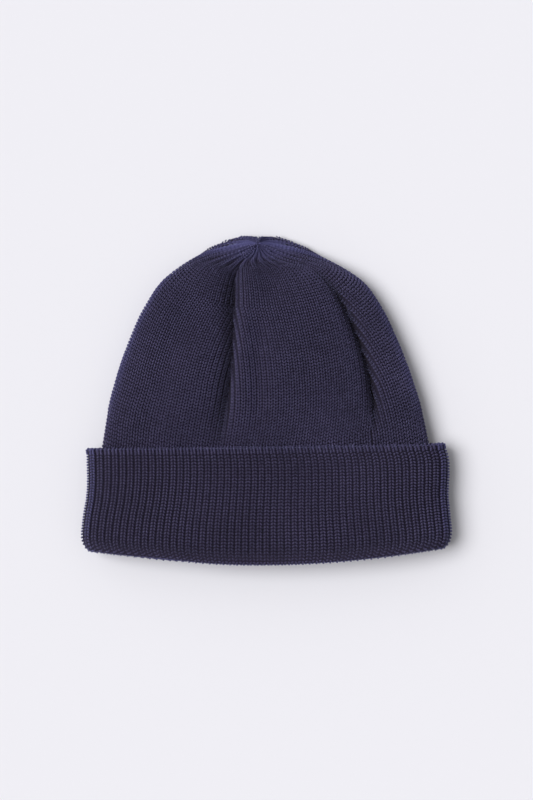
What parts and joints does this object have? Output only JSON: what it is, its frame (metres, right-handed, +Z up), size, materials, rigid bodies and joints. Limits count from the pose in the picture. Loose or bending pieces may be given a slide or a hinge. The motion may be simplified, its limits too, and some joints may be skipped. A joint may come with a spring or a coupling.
{
  "type": "watch cap",
  "caption": "Ribbed knit watch cap with a turned-up cuff and a darted, gathered crown, lying flat on its back with its mouth open.",
  "frame": {"origin": "under the middle of the cap, on the surface that it lies on", "axes": "+X across the cuff, +Y from the rim to the gathered tip, +Z up from the surface, out of the cap's front"},
  "size_m": [0.234, 0.2076, 0.027],
  "materials": {
    "wool": "navy wool, ribbed knit"
  },
  "bodies": {
    "root": {"crown": "wool", "cuff": "wool"}
  },
  "joints": []
}
